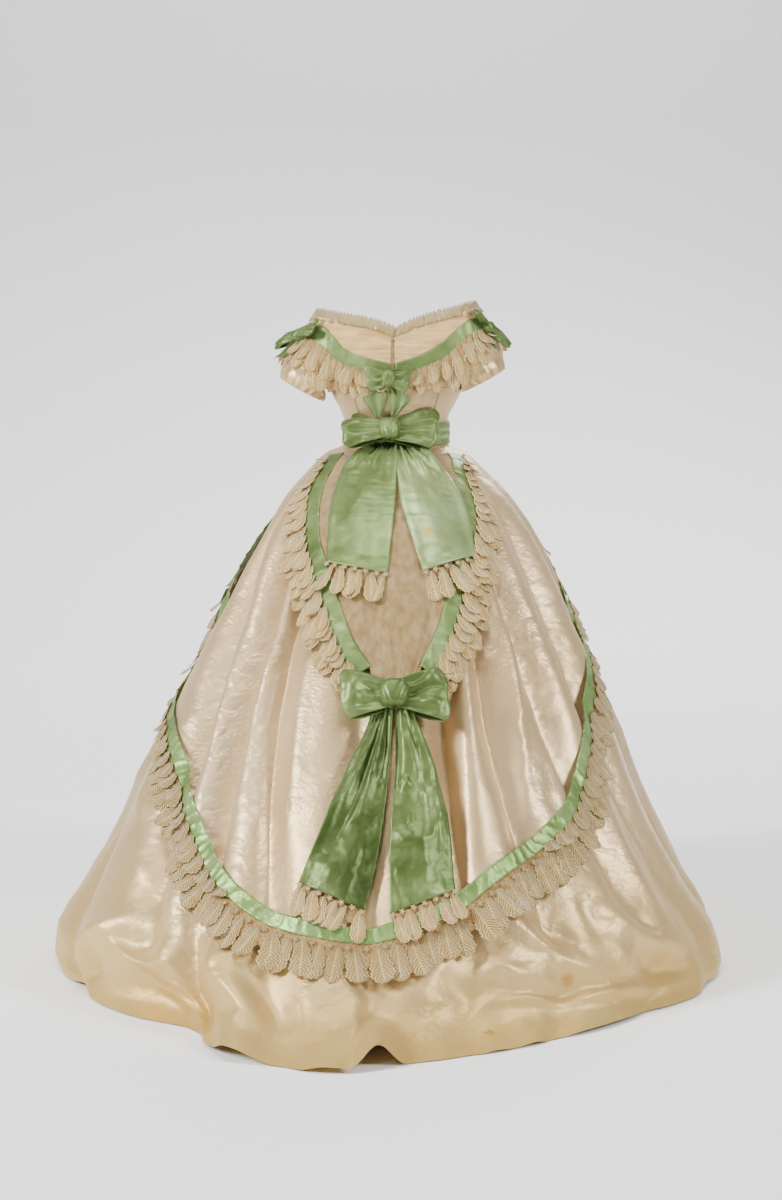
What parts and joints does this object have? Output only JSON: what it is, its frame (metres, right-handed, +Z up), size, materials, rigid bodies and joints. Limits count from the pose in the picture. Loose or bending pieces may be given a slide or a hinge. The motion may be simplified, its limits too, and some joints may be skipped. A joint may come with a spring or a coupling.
{
  "type": "wedding dress",
  "caption": "Hollow off-the-shoulder wedding gown with a boned bodice, puffed sleeves, a pleated bell skirt with a train, lace and ribbon bows.",
  "frame": {"origin": "centre of the waist, inside the belt", "axes": "+Z up, +Y towards the wearer's back, where the train runs, +X towards the wearer's left"},
  "size_m": [1.367, 1.5292, 1.3408],
  "materials": {
    "satin": "aged ivory silk satin with a soft sheen",
    "ribbon": "crisp apple-green silk ribbon with a bright sheen",
    "lace": "golden-tan corded bobbin lace on net",
    "tulle": "fine gathered cream tulle"
  },
  "bodies": {
    "root": {"belt": "ribbon", "belt_bow_knot": "ribbon", "belt_bow_loop_left_lower": "ribbon", "belt_bow_loop_left_upper": "ribbon", "belt_bow_loop_right": "ribbon", "bertha_frill_front": "lace", "bertha_frill_left": "lace", "bertha_frill_right": "lace", "bertha_ribbon_front": "ribbon", "bertha_ribbon_left": "ribbon", "bertha_ribbon_right": "ribbon", "bertha_tulle_front": "tulle", "bertha_tulle_left": "tulle", "bertha_tulle_right": "tulle", "bodice_back_left": "satin", "bodice_back_right": "satin", "bodice_bow_end_left": "ribbon", "bodice_bow_end_right": "ribbon", "bodice_bow_knot": "ribbon", "bodice_bow_loop_left": "ribbon", "bodice_bow_loop_right": "ribbon", "bodice_front": "satin", "bodice_side_left": "satin", "bodice_side_right": "satin", "bow_tail_lace_left": "lace", "bow_tail_lace_right": "lace", "bow_tail_left": "ribbon", "bow_tail_right": "ribbon", "garland_lace": "lace", "garland_ribbon": "ribbon", "neck_edging": "lace", "shoulder_bow_left_end": "ribbon", "shoulder_bow_left_knot": "ribbon", "shoulder_bow_left_loop_back": "ribbon", "shoulder_bow_left_loop_front": "ribbon", "shoulder_bow_right_end": "ribbon", "shoulder_bow_right_knot": "ribbon", "shoulder_bow_right_loop_back": "ribbon", "shoulder_bow_right_loop_front": "ribbon", "skirt_back_left": "satin", "skirt_back_right": "satin", "skirt_bow_knot": "ribbon", "skirt_bow_loop_left": "ribbon", "skirt_bow_loop_right": "ribbon", "skirt_front": "satin", "skirt_side_back_left": "satin", "skirt_side_back_right": "satin", "skirt_side_front_left": "satin", "skirt_side_front_right": "satin", "sleeve_left": "satin", "sleeve_right": "satin", "streamer_lace_left": "lace", "streamer_lace_right": "lace", "streamer_left": "ribbon", "streamer_right": "ribbon", "tulle_panel": "tulle", "upper_lace_left": "lace", "upper_lace_right": "lace", "upper_ribbon_left": "ribbon", "upper_ribbon_right": "ribbon"}
  },
  "joints": []
}
